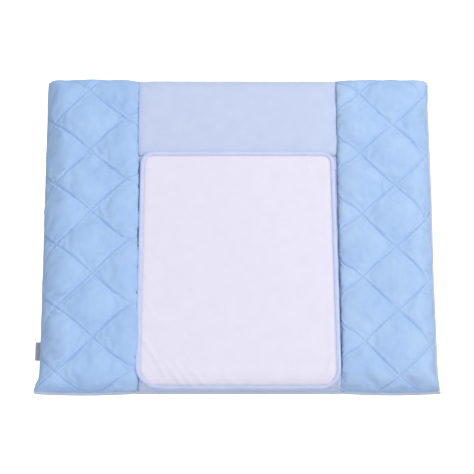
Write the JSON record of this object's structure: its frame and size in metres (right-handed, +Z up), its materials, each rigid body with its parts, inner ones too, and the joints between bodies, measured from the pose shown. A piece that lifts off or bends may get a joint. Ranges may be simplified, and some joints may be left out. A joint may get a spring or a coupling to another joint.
{
  "type": "changing pad",
  "caption": "Padded changing pad: plain centre with a removable towel between two thicker diamond-quilted side bolsters that fold over it, zip on the underside.",
  "frame": {"origin": "on the flat underside, midway between the side edges and between the front and rear edges", "axes": "+X across the pad to the user's right, +Y from the front edge to the rear edge, +Z up through the padding"},
  "size_m": [0.8524, 0.75, 0.0622],
  "materials": {
    "velour": "soft velour pile, matt",
    "plain_fabric": "plain fine knit, matt",
    "wadding": "needled wadding",
    "case_cloth": "thin nonwoven cloth",
    "fibre_fill": "loose polyester fibre",
    "terry": "fine brushed terry",
    "backing_film": "coated waterproof cloth",
    "binding_tape": "folded bias tape",
    "zip_tape": "woven zip tape",
    "zip_coil": "moulded coil",
    "zip_metal": "cast metal, satin",
    "snap_plastic": "moulded snap",
    "label_tape": "folded woven tape, blank"
  },
  "bodies": {
    "centre": {"centre_left_wall": "plain_fabric", "centre_right_wall": "plain_fabric", "centre_rear_panel": "plain_fabric", "centre_front_panel": "plain_fabric", "back_rear_panel": "plain_fabric", "back_front_panel": "plain_fabric", "centre_inner_case": "case_cloth", "centre_fill": "fibre_fill", "zip_front_tape": "zip_tape", "zip_rear_tape": "zip_tape", "zip_front_coil": "zip_coil", "zip_rear_coil": "zip_coil", "zip_left_stop": "zip_metal", "zip_right_stop": "zip_metal", "snap_tab_front_left": "plain_fabric", "snap_stud_front_left": "snap_plastic", "snap_tab_front_right": "plain_fabric", "snap_stud_front_right": "snap_plastic", "snap_tab_rear_left": "plain_fabric", "snap_stud_rear_left": "snap_plastic", "snap_tab_rear_right": "plain_fabric", "snap_stud_rear_right": "snap_plastic"},
    "left_wing": {"left_quilted_panel": "velour", "left_quilt_wadding": "wadding", "left_back_panel": "plain_fabric", "left_inner_wall": "plain_fabric", "left_inner_case": "case_cloth", "left_bolster_fill": "fibre_fill", "side_label": "label_tape"},
    "right_wing": {"right_quilted_panel": "velour", "right_quilt_wadding": "wadding", "right_back_panel": "plain_fabric", "right_inner_wall": "plain_fabric", "right_inner_case": "case_cloth", "right_bolster_fill": "fibre_fill"},
    "towel": {"towel_face": "terry", "towel_backing": "backing_film", "towel_binding": "binding_tape", "snap_socket_front_left": "snap_plastic", "snap_socket_front_right": "snap_plastic", "snap_socket_rear_left": "snap_plastic", "snap_socket_rear_right": "snap_plastic"},
    "zip_slider": {"zip_slider": "zip_metal"},
    "zip_pull": {"zip_pull": "zip_metal"}
  },
  "joints": [
    {"name": "left_wing_fold", "type": "hinge", "parent": "centre", "child": "left_wing", "pos_m": [-0.22, 0, 0.062], "axis": [0, -1, 0], "range_deg": [-180, 0]},
    {"name": "right_wing_fold", "type": "hinge", "parent": "centre", "child": "right_wing", "pos_m": [0.22, 0, 0.062], "axis": [0, 1, 0], "range_deg": [-180, 0]},
    {"name": "towel_lift", "type": "slide", "parent": "centre", "child": "towel", "axis": [0, 0, 1], "range_m": [0, 0.2]},
    {"name": "zip_slide", "type": "slide", "parent": "centre", "child": "zip_slider", "axis": [-1, 0, 0], "range_m": [0, 0.38]},
    {"name": "zip_pull_hinge", "type": "hinge", "parent": "zip_slider", "child": "zip_pull", "pos_m": [0.205, 0.12, 0.00235], "axis": [0, -1, 0], "range_deg": [0, 160]}
  ]
}
